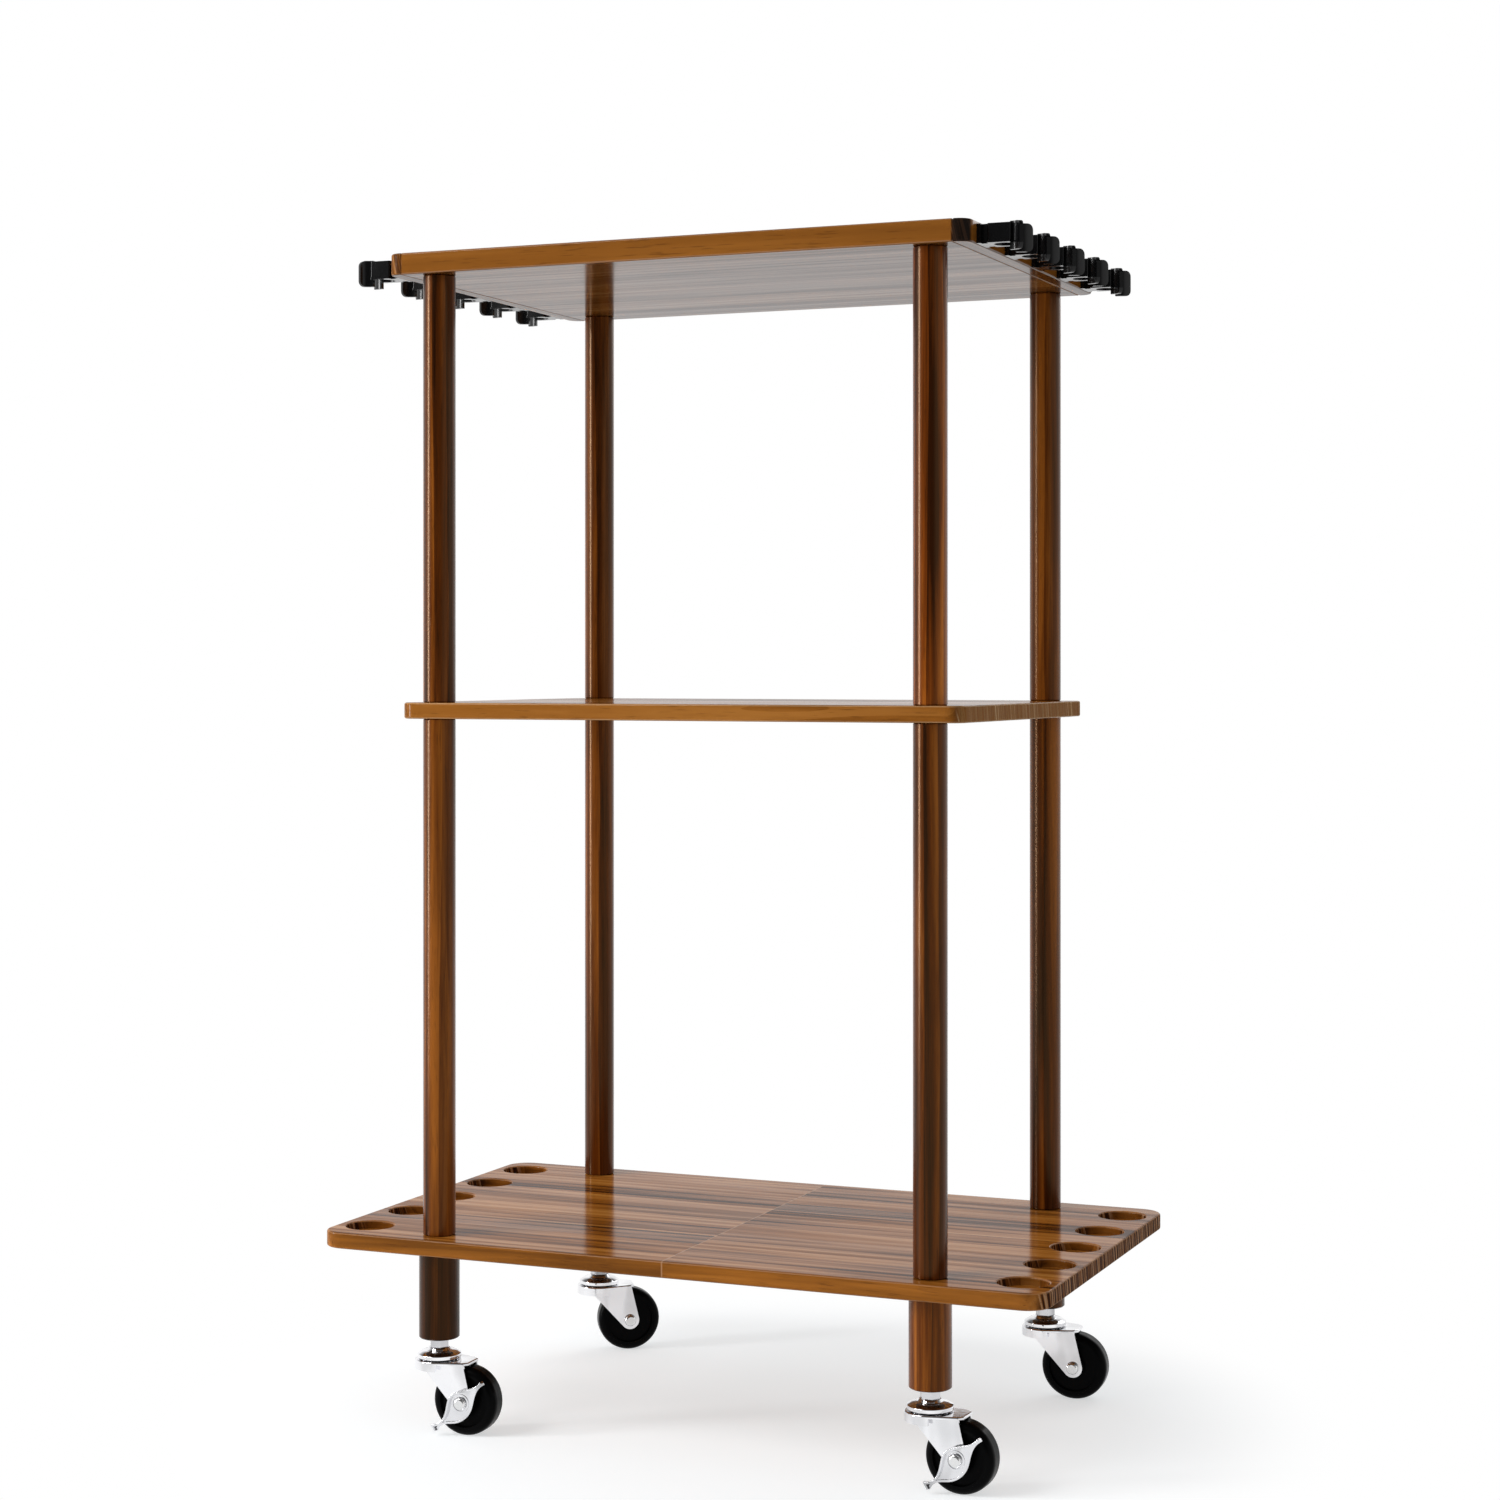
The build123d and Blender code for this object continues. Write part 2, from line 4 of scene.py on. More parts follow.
import bpy
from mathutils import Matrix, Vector

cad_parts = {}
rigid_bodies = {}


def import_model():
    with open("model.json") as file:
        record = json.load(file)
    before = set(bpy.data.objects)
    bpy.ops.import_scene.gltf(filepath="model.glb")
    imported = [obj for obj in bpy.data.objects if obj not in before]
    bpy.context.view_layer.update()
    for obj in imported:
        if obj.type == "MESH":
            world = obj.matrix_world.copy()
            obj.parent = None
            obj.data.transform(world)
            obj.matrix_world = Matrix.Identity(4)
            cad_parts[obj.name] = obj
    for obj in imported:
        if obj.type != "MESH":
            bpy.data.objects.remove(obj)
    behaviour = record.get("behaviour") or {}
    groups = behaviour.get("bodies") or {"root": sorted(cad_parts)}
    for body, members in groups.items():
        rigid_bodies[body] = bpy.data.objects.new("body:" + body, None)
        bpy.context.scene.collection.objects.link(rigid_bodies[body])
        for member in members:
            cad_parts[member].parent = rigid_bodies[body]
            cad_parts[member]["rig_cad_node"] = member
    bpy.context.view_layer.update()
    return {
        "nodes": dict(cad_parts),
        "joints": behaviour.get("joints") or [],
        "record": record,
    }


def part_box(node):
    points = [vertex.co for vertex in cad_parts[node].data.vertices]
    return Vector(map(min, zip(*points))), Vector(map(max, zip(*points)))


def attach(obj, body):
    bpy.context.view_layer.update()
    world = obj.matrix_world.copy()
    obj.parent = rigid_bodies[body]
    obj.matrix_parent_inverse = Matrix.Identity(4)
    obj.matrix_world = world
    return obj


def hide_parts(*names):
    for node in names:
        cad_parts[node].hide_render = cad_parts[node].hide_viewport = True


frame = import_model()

cadNodes = frame["nodes"]
joints = {joint["name"]: joint for joint in frame["joints"]}
bodyOf = {node: body for body, nodes in frame["record"]["behaviour"]["bodies"].items() for node in nodes}
corners = ("front_left", "front_right", "rear_left", "rear_right")


# Small helpers for shader trees

def feed(tree, socket, value):
    if isinstance(value, bpy.types.NodeSocket):
        tree.links.new(value, socket)
    else:
        socket.default_value = value


def place(tree, kind, inputs=None, **properties):
    made = tree.nodes.new(kind)
    for key, value in properties.items():
        setattr(made, key, value)
    for key, value in (inputs or {}).items():
        feed(tree, made.inputs[key], value)
    return made


def opaque(colour):
    return (*colour, 1.0) if isinstance(colour, tuple) else colour   # a link stays as it is


def calc(tree, operation, a, b=0.0, c=0.0):
    return place(tree, "ShaderNodeMath", {0: a, 1: b, 2: c}, operation=operation).outputs[0]


def vectorCalc(tree, operation, a, b=(0.0, 0.0, 0.0)):
    return place(tree, "ShaderNodeVectorMath", {0: a, 1: b}, operation=operation)


def stretch(tree, vector, factors):
    return vectorCalc(tree, "MULTIPLY", vector, factors).outputs[0]


def enlarge(tree, vector, factor):
    return place(tree, "ShaderNodeVectorMath", {0: vector, "Scale": factor}, operation="SCALE").outputs[0]


def blendColour(tree, factor, a, b):
    return place(tree, "ShaderNodeMix", {0: factor, 6: opaque(a), 7: opaque(b)}, data_type="RGBA").outputs[2]


def remap(tree, value, low, high, newLow=0.0, newHigh=1.0):
    inputs = {"Value": value, "From Min": low, "From Max": high, "To Min": newLow, "To Max": newHigh}
    return place(tree, "ShaderNodeMapRange", inputs, interpolation_type="SMOOTHSTEP").outputs["Result"]


def fadeOut(tree, value, low, high, start=1.0):
    return remap(tree, value, low, high, start, 0.0)


def ramp(tree, factor, stops, colours):
    made = place(tree, "ShaderNodeValToRGB", {"Fac": factor})
    elements = made.color_ramp.elements
    while len(elements) < len(stops):
        elements.new(0.5)
    for element, position, colour in zip(elements, stops, colours):
        element.position = position
        element.color = opaque(colour)
    return made.outputs["Color"]


def noise(tree, vector, scale=1.0, detail=4.0, roughness=0.55, distortion=0.0):
    inputs = {"Vector": vector, "Scale": scale, "Detail": detail, "Roughness": roughness,
              "Distortion": distortion}
    return place(tree, "ShaderNodeTexNoise", inputs).outputs["Fac"]


def addBump(tree, shader, strength, distance, height):
    bump = place(tree, "ShaderNodeBump", {"Strength": strength, "Distance": distance, "Height": height})
    tree.links.new(bump.outputs[0], shader.inputs["Normal"])


def setPlain(shader, values):
    # What is the same all over the surface stands on the shader's own sockets
    for label, value in values.items():
        shader.inputs[label].default_value = value


def newGroup(name, inputs, outputs):
    tree = bpy.data.node_groups.new(name, "ShaderNodeTree")
    for label, kind, value in inputs:
        socket = tree.interface.new_socket(label, in_out="INPUT", socket_type=kind)
        if value is not None:
            socket.default_value = value
    for label, kind in outputs:
        tree.interface.new_socket(label, in_out="OUTPUT", socket_type=kind)
    return tree, place(tree, "NodeGroupInput"), place(tree, "NodeGroupOutput")


def useGroup(tree, group, inputs):
    made = tree.nodes.new("ShaderNodeGroup")
    made.node_tree = group
    for key, value in inputs.items():
        feed(tree, made.inputs[key], value)
    return made


def newMaterial(name):
    material = bpy.data.materials.new(name)
    material.use_nodes = True
    tree = material.node_tree
    return material, tree, tree.nodes["Principled BSDF"]


# Shared effects

timber = {
    "stripOffset": (9.0, 3.0, 5.0),     # how far apart in the timber neighbouring strips are cut
    "streaks": (2.6, 85.0, 85.0),       # stretch of each pattern: along the grain, then across it
    "broad": (1.6, 24.0, 24.0),
    "bands": (0.9, 16.0, 16.0),
    "pores": (42.0, 950.0, 950.0),
    "streakShare": 0.56,
    "broadShare": 0.36,
    "bandShare": 0.09,
    "poreEdge": (0.6, 0.72),
    "seamEdge": (0.0001, 0.00035),      # half the glue line's width, where it starts and ends to fade
    "streakRise": 0.35,
    "poreDrop": 0.4,
    "seamDrop": 0.6,
}


def buildTimberFigure():
    # Grain of a glued-up board: the vector's X runs along the grain, Y across the strips
    number, vector = "NodeSocketFloat", "NodeSocketVector"
    tree, given, result = newGroup(
        "timberFigure",
        [("Vector", vector, None), ("Strip Width", number, 0.04), ("Seed", number, 0.0),
         ("Figure Scale", number, 1.0)],
        [("Figure", number), ("Strip Tone", number), ("Pores", number), ("Seam", number), ("Height", number)])
    where = place(tree, "ShaderNodeSeparateXYZ", {0: given.outputs["Vector"]})
    strip = calc(tree, "ADD", calc(tree, "DIVIDE", where.outputs["Y"], given.outputs["Strip Width"]),
                 given.outputs["Seed"])
    tone = place(tree, "ShaderNodeTexWhiteNoise", {"W": calc(tree, "FLOOR", strip)}, noise_dimensions="1D")
    shift = stretch(tree, tone.outputs["Color"], timber["stripOffset"])
    moved = vectorCalc(tree, "ADD", given.outputs["Vector"], shift).outputs[0]
    scaled = enlarge(tree, moved, given.outputs["Figure Scale"])
    streaks = noise(tree, stretch(tree, scaled, timber["streaks"]), detail=7.0, roughness=0.62, distortion=0.4)
    broad = noise(tree, stretch(tree, scaled, timber["broad"]), detail=3.0, roughness=0.5, distortion=0.8)
    bands = place(tree, "ShaderNodeTexWave",
                  {"Vector": stretch(tree, scaled, timber["bands"]), "Scale": 1.6, "Distortion": 5.5,
                   "Detail": 3.0, "Detail Scale": 0.7, "Detail Roughness": 0.6},
                  wave_type="BANDS", bands_direction="Y", wave_profile="SAW").outputs["Fac"]
    figure = calc(tree, "ADD", calc(tree, "MULTIPLY", streaks, timber["streakShare"]),
                  calc(tree, "ADD", calc(tree, "MULTIPLY", broad, timber["broadShare"]),
                       calc(tree, "MULTIPLY", bands, timber["bandShare"])))
    pores = remap(tree, noise(tree, stretch(tree, scaled, timber["pores"]), detail=2.0, roughness=0.5),
                  *timber["poreEdge"])
    inStrip = calc(tree, "ABSOLUTE", calc(tree, "SUBTRACT", calc(tree, "FRACT", strip), 0.5))
    toSeam = calc(tree, "MULTIPLY", calc(tree, "SUBTRACT", 0.5, inStrip), given.outputs["Strip Width"])
    seam = fadeOut(tree, toSeam, *timber["seamEdge"])
    height = calc(tree, "SUBTRACT", calc(tree, "MULTIPLY", streaks, timber["streakRise"]),
                  calc(tree, "ADD", calc(tree, "MULTIPLY", pores, timber["poreDrop"]),
                       calc(tree, "MULTIPLY", seam, timber["seamDrop"])))
    for label, value in (("Figure", figure), ("Strip Tone", tone.outputs["Value"]), ("Pores", pores),
                         ("Seam", seam), ("Height", height)):
        tree.links.new(value, result.inputs[label])
    return tree


handling = {
    "cloudScale": 16.0,         # smears of hands
    "cloudEdge": (0.45, 0.75),
    "speckScale": 900.0,        # grains of dust
    "speckEdge": (0.62, 0.75),
    "speckShare": 0.5,
}


def buildHandling():
    # Faint smears and dust, as a mask and a value to add to the roughness
    tree, given, result = newGroup(
        "handlingMarks",
        [("Vector", "NodeSocketVector", None), ("Amount", "NodeSocketFloat", 0.1)],
        [("Mask", "NodeSocketFloat"), ("Roughness", "NodeSocketFloat")])
    clouds = noise(tree, given.outputs["Vector"], handling["cloudScale"], roughness=0.6, distortion=0.3)
    specks = noise(tree, given.outputs["Vector"], handling["speckScale"], detail=2.0, roughness=0.5)
    mask = calc(tree, "MAXIMUM", remap(tree, clouds, *handling["cloudEdge"]),
                calc(tree, "MULTIPLY", remap(tree, specks, *handling["speckEdge"]), handling["speckShare"]))
    tree.links.new(mask, result.inputs["Mask"])
    tree.links.new(calc(tree, "MULTIPLY", mask, given.outputs["Amount"]), result.inputs["Roughness"])
    return tree


timberFigure = buildTimberFigure()
handlingMarks = buildHandling()
print("shared shader groups built")


# Wood

varnishLooks = {
    "glint": (1.0, 0.55, 0.22, 1.0),    # the stained fibres glint warm
    "figureSpan": (0.40, 0.60),         # from the soft streaks of the figure to the hard ones
    "endSoak": 0.85,                    # how much of the varnish the end grain drinks
}

boardLooks = {
    "stripWidth": 0.031,
    "stripTone": 0.09,                  # how much the strips differ
    "clouds": (5.0, 9.0, 9.0),
    "cloudTone": 0.22,
    "stops": (0.38, 0.50, 0.63),        # where the figure is shade, middle and light
    "shade": (0.060, 0.016, 0.0025),
    "middle": (0.235, 0.077, 0.0100),
    "light": (0.430, 0.175, 0.036),
    "edgeTone": (0.290, 0.102, 0.013),  # the lighter strip along the long edges
    "edgeMix": 0.5,
    "sideLevel": (0.35, 0.8),           # how level a face must be to count as top and no longer as edge
    "outerEdge": (0.146, 0.150),        # recess walls lie inside this reach, the outer edges beyond it
    "recessShade": 0.5,                    # painted shade on the walls of the recesses: how far they are blended toward the shade tone
    "endStops": (0.47, 0.53, 0.60),
    "endDark": (0.040, 0.013, 0.006),
    "endMiddle": (0.235, 0.077, 0.0100),
    "endLight": (0.440, 0.245, 0.130),
    "endContrast": 1.0,
    "endSlant": 0.22,                   # how far the strips' end lines lean
    "endScale": 62.0,
    "endReach": (0.55, 0.85),           # how squarely a face must look along the grain to show end grain
    "seamShade": 0.35,
    "poreShade": 0.45,
    "rimFrom": (0.2, 0.45),             # the eased rims lie between edge and top
    "rimTo": (0.75, 0.95),
    # painted highlight on the eased rims, as a share of the end grain's light tone
    "rimHighlight": 0.35,
    "jointLine": (0.0003, 0.0008),      # half the butt joint's width, where it starts and ends to fade
    "jointWear": 0.6,
    "marks": 0.08,
    "roughness": 0.3,
    "poreRoughness": 0.1,
    "bump": (0.3, 0.0004),
    "sheen": 0.0,
    "coat": 0.8,
    "sunken": 0.6,                      # share of the coat that stays on the soft streaks
    "coatRoughness": 0.13,
    "coatIor": 1.24,
}


def varnish(tree, shader, looks, figure, endGrain=0.0):
    # The varnish sinks a little into the soft streaks, and most of it into the end grain
    kept = calc(tree, "MULTIPLY_ADD", endGrain, -varnishLooks["endSoak"], 1.0)
    gloss = remap(tree, figure, *varnishLooks["figureSpan"], looks["coat"] * looks["sunken"], looks["coat"])
    tree.links.new(calc(tree, "MULTIPLY", gloss, kept), shader.inputs["Coat Weight"])
    setPlain(shader, {"Specular IOR Level": looks["sheen"], "Specular Tint": varnishLooks["glint"],
                      "Coat Roughness": looks["coatRoughness"], "Coat IOR": looks["coatIor"]})


def boardMaterial(name, along, seed, looks, joint=False):
    # along is the axis that the grain follows, X or Y
    material, tree, shader = newMaterial(name)
    coordinates = place(tree, "ShaderNodeTexCoord")
    where = place(tree, "ShaderNodeSeparateXYZ", {0: coordinates.outputs["Object"]})
    facing = place(tree, "ShaderNodeSeparateXYZ", {0: coordinates.outputs["Normal"]})
    across = "Y" if along == "X" else "X"
    swapped = place(tree, "ShaderNodeCombineXYZ",
                    {0: where.outputs[along], 1: where.outputs[across], 2: where.outputs["Z"]}).outputs[0]
    grain = useGroup(tree, timberFigure, {"Vector": swapped, "Strip Width": looks["stripWidth"], "Seed": seed})
    stripShift = calc(tree, "MULTIPLY", calc(tree, "SUBTRACT", grain.outputs["Strip Tone"], 0.5),
                      looks["stripTone"])
    clouds = noise(tree, stretch(tree, swapped, looks["clouds"]), detail=2.0)
    cloudShift = calc(tree, "MULTIPLY", calc(tree, "SUBTRACT", clouds, 0.5), looks["cloudTone"])
    toned = calc(tree, "ADD", grain.outputs["Figure"], calc(tree, "ADD", stripShift, cloudShift))
    face = ramp(tree, toned, looks["stops"], (looks["shade"], looks["middle"], looks["light"]))
    # Long edges show one lighter strip, the ends show the strips cut across
    level = calc(tree, "ABSOLUTE", facing.outputs["Z"])
    outer = remap(tree, calc(tree, "ABSOLUTE", where.outputs[across]), *looks["outerEdge"])
    # The recess walls are blended toward the shade tone: painted shade, as the recesses lie in shadow
    edgesAndShadedRecesses = blendColour(tree, outer, blendColour(tree, looks["recessShade"], face, looks["shade"]),
                           blendColour(tree, looks["edgeMix"], face, looks["edgeTone"]))
    sided = blendColour(tree, fadeOut(tree, level, *looks["sideLevel"]), face, edgesAndShadedRecesses)
    tilt = calc(tree, "MULTIPLY_ADD", where.outputs["Z"], looks["endSlant"], where.outputs[across])
    endLine = place(tree, "ShaderNodeTexNoise",
                    {"W": calc(tree, "MULTIPLY", tilt, looks["endScale"]), "Detail": 3.0, "Roughness": 0.62},
                    noise_dimensions="1D").outputs["Fac"]
    endTone = calc(tree, "MULTIPLY_ADD", calc(tree, "SUBTRACT", endLine, 0.5), looks["endContrast"], 0.5)
    endFace = ramp(tree, endTone, looks["endStops"], (looks["endDark"], looks["endMiddle"], looks["endLight"]))
    endGrain = remap(tree, calc(tree, "ABSOLUTE", facing.outputs[along]), *looks["endReach"])
    whole = blendColour(tree, endGrain, sided, endFace)
    seamed = blendColour(tree, calc(tree, "MULTIPLY", grain.outputs["Seam"], looks["seamShade"]), whole,
                         looks["shade"])
    pored = blendColour(tree, calc(tree, "MULTIPLY", grain.outputs["Pores"], looks["poreShade"]), seamed,
                        looks["shade"])
    # Painted highlight: the eased rims are blended toward the end grain's light tone, where the rounded rims catch
    # the light
    rim = calc(tree, "MULTIPLY", remap(tree, level, *looks["rimFrom"]), fadeOut(tree, level, *looks["rimTo"]))
    highlightedRimsAndJoint = blendColour(tree, calc(tree, "MULTIPLY", rim, looks["rimHighlight"]), pored, looks["endLight"])
    if joint:
        line = fadeOut(tree, calc(tree, "ABSOLUTE", where.outputs[along]), *looks["jointLine"],
                       looks["jointWear"])
        highlightedRimsAndJoint = blendColour(tree, line, highlightedRimsAndJoint, looks["endLight"])
    tree.links.new(highlightedRimsAndJoint, shader.inputs["Base Color"])
    marks = useGroup(tree, handlingMarks, {"Vector": coordinates.outputs["Object"], "Amount": looks["marks"]})
    poreDull = calc(tree, "MULTIPLY_ADD", grain.outputs["Pores"], looks["poreRoughness"], looks["roughness"])
    tree.links.new(calc(tree, "ADD", marks.outputs["Roughness"], poreDull), shader.inputs["Roughness"])
    addBump(tree, shader, *looks["bump"], grain.outputs["Height"])
    varnish(tree, shader, looks, grain.outputs["Figure"], endGrain)
    return material


postLooks = {
    "stripWidth": 9.0,                  # wider than any post: each is turned from one piece
    "figureScale": 1.15,
    "stops": (0.39, 0.50, 0.62),
    "shade": (0.014, 0.0028, 0.0004),
    "middle": (0.090, 0.0195, 0.0016),
    "light": (0.270, 0.080, 0.0085),
    "endEdge": (0.6, 0.9),
    "endShade": 0.6,
    "poreShade": 0.4,
    "marks": 0.07,
    "roughness": 0.2,
    "bump": (0.1, 0.0003),
    "sheen": 0.3,
    "coat": 0.15,
    "sunken": 0.9,
    "coatRoughness": 0.22,
    "coatIor": 1.3,
}
shadedLooks = postLooks | {"coat": 0.2, "sheen": 0.22}
stains = {"leg_front_left": 0.36, "leg_front_right": 1.25, "leg_rear_right": 0.6, "upper_post_rear_left": 0.8,
          "upper_post_front_right": 1.9}   # below 1 is darker


def postMaterial(name, seed, looks, stain):
    # The seed picks another piece of the same timber
    material, tree, shader = newMaterial(name)
    coordinates = place(tree, "ShaderNodeTexCoord")
    where = place(tree, "ShaderNodeSeparateXYZ", {0: coordinates.outputs["Object"]})
    swapped = place(tree, "ShaderNodeCombineXYZ",
                    {0: where.outputs["Z"], 1: where.outputs["X"], 2: where.outputs["Y"]}).outputs[0]
    grain = useGroup(tree, timberFigure, {"Vector": swapped, "Strip Width": looks["stripWidth"], "Seed": seed,
                                          "Figure Scale": looks["figureScale"]})
    stained = [tuple(min(1.0, part * stain) for part in looks[kind]) for kind in ("shade", "middle", "light")]
    tone = ramp(tree, grain.outputs["Figure"], looks["stops"], stained)
    facing = place(tree, "ShaderNodeSeparateXYZ", {0: coordinates.outputs["Normal"]})
    endMask = remap(tree, calc(tree, "ABSOLUTE", facing.outputs["Z"]), *looks["endEdge"])
    ended = blendColour(tree, calc(tree, "MULTIPLY", endMask, looks["endShade"]), tone, looks["shade"])
    pored = blendColour(tree, calc(tree, "MULTIPLY", grain.outputs["Pores"], looks["poreShade"]), ended,
                        looks["shade"])
    tree.links.new(pored, shader.inputs["Base Color"])
    marks = useGroup(tree, handlingMarks, {"Vector": coordinates.outputs["Object"], "Amount": looks["marks"]})
    tree.links.new(calc(tree, "ADD", marks.outputs["Roughness"], looks["roughness"]), shader.inputs["Roughness"])
    addBump(tree, shader, *looks["bump"], grain.outputs["Height"])
    varnish(tree, shader, looks, grain.outputs["Figure"])
    return material


def dress(nodeName, material):
    slots = cadNodes[nodeName].data.materials
    slots.clear()
    slots.append(material)


bottomLooks = boardLooks | {"middle": (0.310, 0.104, 0.013), "light": (0.500, 0.205, 0.040),
                            "edgeTone": (0.380, 0.136, 0.015), "edgeMix": 0.3}
middleLooks = boardLooks | {"endDark": (0.300, 0.150, 0.052), "endLight": (0.640, 0.420, 0.220),
                            "edgeTone": (0.235, 0.084, 0.012), "endContrast": 0.42}
topLooks = boardLooks | {"shade": (0.055, 0.016, 0.0028), "middle": (0.120, 0.040, 0.0060),
                         "light": (0.230, 0.088, 0.0160), "edgeTone": (0.305, 0.108, 0.0140),
                         "coatIor": 1.33, "sunken": 0.8}
railLooks = {
    "left": topLooks | {"endDark": (0.080, 0.030, 0.010), "endLight": (0.300, 0.140, 0.050)},
    # The right rail's front end is painted near black, reaching round its rounded corner: partly darker timber,
    # partly painted shade where that end lies in shadow
    "right": topLooks | {"endDark": (0.012, 0.008, 0.006), "endMiddle": (0.018, 0.011, 0.008),
                         "endLight": (0.034, 0.018, 0.011), "endReach": (0.15, 0.5)},
}

dress("top_shelf", boardMaterial("walnutTopBoard", "X", 0.3, topLooks))
dress("middle_shelf", boardMaterial("walnutMiddleShelf", "X", 7.7, middleLooks))
for side, seed in (("left", 3.1), ("right", 12.6)):
    dress(f"top_rail_{side}", boardMaterial(f"walnutRail{side.title()}", "Y", seed, railLooks[side]))
    dress(f"bottom_board_{side}",
          boardMaterial(f"walnutBottom{side.title()}", "X", seed + 4, bottomLooks, joint=True))
for seed, corner in enumerate(corners):
    for number, kind in enumerate(("upper_post", "lower_post", "leg")):
        turned = f"{kind}_{corner}"
        looks = shadedLooks if turned == "leg_front_left" else postLooks
        dress(turned, postMaterial(f"walnut_{turned}", 11.0 * seed + 3.7 * number, looks, stains.get(turned, 1.0)))
print("wood dressed")


# Metal and plastic

metals = {
    "platedSteel": {"tone": (0.93, 0.93, 0.95), "roughness": 0.09, "streak": 0.22},
    # The lever and the stem are the same plated steel as the fork, in darker copies: painted shade for the dim
    # surroundings they reflect
    "leverSteelPaintedShade": {"tone": (0.80, 0.80, 0.82), "roughness": 0.12, "wave": 0.3, "streak": 0.4},
    "stemSteelPaintedShade": {"tone": (0.66, 0.66, 0.68), "roughness": 0.10, "wave": 0.3, "streak": 0.5},
    "zincSteel": {"tone": (0.80, 0.80, 0.80), "roughness": 0.2, "smear": 0.1, "wave": 0.2},
    "ballSteel": {"tone": (0.62, 0.62, 0.64), "roughness": 0.08},
    "insertBrass": {"tone": (0.72, 0.50, 0.20), "roughness": 0.25},
}
metalSurface = {
    "smearTone": 0.86,             # share of the tone that is left under a smear
    "drawn": (70.0, 70.0, 26.0),   # stretch of the drawn marks
    "drawnEdge": (0.40, 0.66),
    "rippleScale": 120.0,
    "rippleDepth": 0.0004,
}


def metalMaterial(name, tone, roughness, smear=0.08, wave=0.12, streak=0.0):
    # streak is how much darker the drawn marks of the pressing are, wave how strong its ripples
    material, tree, shader = newMaterial(name)
    coordinates = place(tree, "ShaderNodeTexCoord").outputs["Object"]
    marks = useGroup(tree, handlingMarks, {"Vector": coordinates, "Amount": smear})
    dull = tuple(metalSurface["smearTone"] * part for part in tone)
    smeared = blendColour(tree, marks.outputs["Mask"], tone, dull)
    lines = noise(tree, stretch(tree, coordinates, metalSurface["drawn"]), detail=1.0, roughness=0.4,
                  distortion=0.3)
    drawn = remap(tree, lines, *metalSurface["drawnEdge"])
    deep = tuple(part * (1.0 - streak) for part in tone)
    tree.links.new(blendColour(tree, drawn, smeared, deep), shader.inputs["Base Color"])
    tree.links.new(calc(tree, "ADD", marks.outputs["Roughness"], roughness), shader.inputs["Roughness"])
    setPlain(shader, {"Metallic": 1.0})
    ripple = noise(tree, coordinates, metalSurface["rippleScale"], detail=3.0, roughness=0.5)
    addBump(tree, shader, wave, metalSurface["rippleDepth"], ripple)
    return material


clipLooks = {
    "black": (0.0025, 0.0025, 0.0028),
    "worn": (0.009, 0.009, 0.0085),
    "wear": 0.5,
    "marks": 0.14,
    "roughness": 0.22,
    "grainScale": 900.0,
    "bump": (0.12, 0.0002),
    "specular": 0.16,
    "coat": 0.5,
    "coatRoughness": 0.06,
    "coatIor": 1.3,
}


def clipMaterial():
    look = clipLooks
    material, tree, shader = newMaterial("clipPlastic")
    coordinates = place(tree, "ShaderNodeTexCoord").outputs["Object"]
    marks = useGroup(tree, handlingMarks, {"Vector": coordinates, "Amount": look["marks"]})
    worn = calc(tree, "MULTIPLY", marks.outputs["Mask"], look["wear"])
    tree.links.new(blendColour(tree, worn, look["black"], look["worn"]), shader.inputs["Base Color"])
    tree.links.new(calc(tree, "ADD", marks.outputs["Roughness"], look["roughness"]), shader.inputs["Roughness"])
    addBump(tree, shader, *look["bump"], noise(tree, coordinates, look["grainScale"], detail=2.0))
    setPlain(shader, {"Specular IOR Level": look["specular"], "Coat Weight": look["coat"],
                      "Coat Roughness": look["coatRoughness"], "Coat IOR": look["coatIor"]})
    return material


dowelLooks = boardLooks | {"shade": (0.30, 0.18, 0.09), "middle": (0.42, 0.27, 0.15), "light": (0.52, 0.36, 0.21)}

wheelLooks = {
    "black": (0.0014, 0.0014, 0.0016),
    "dust": (0.010, 0.0097, 0.0094),
    "treadEdge": (0.0246, 0.0252),      # radius where the sides turn into the tread
    "ringScale": 95.0,                  # mould rings on the sides
    "ringHeight": 0.25,
    "partingLine": (0.0002, 0.0005),    # half its width round the tread, where it starts and ends to fade
    "scuffScale": 240.0,
    "scuffEdge": (0.5, 0.75),
    "treadDust": 0.7,
    "sideDust": 0.12,
    "marks": 0.12,
    "roughness": 0.3,
    "dustRoughness": 0.3,
    "bump": (0.15, 0.0003),
    "specular": 0.04,
    "treadCoat": 0.22,
    "coatRoughness": 0.14,
    "coatIor": 1.35,
}


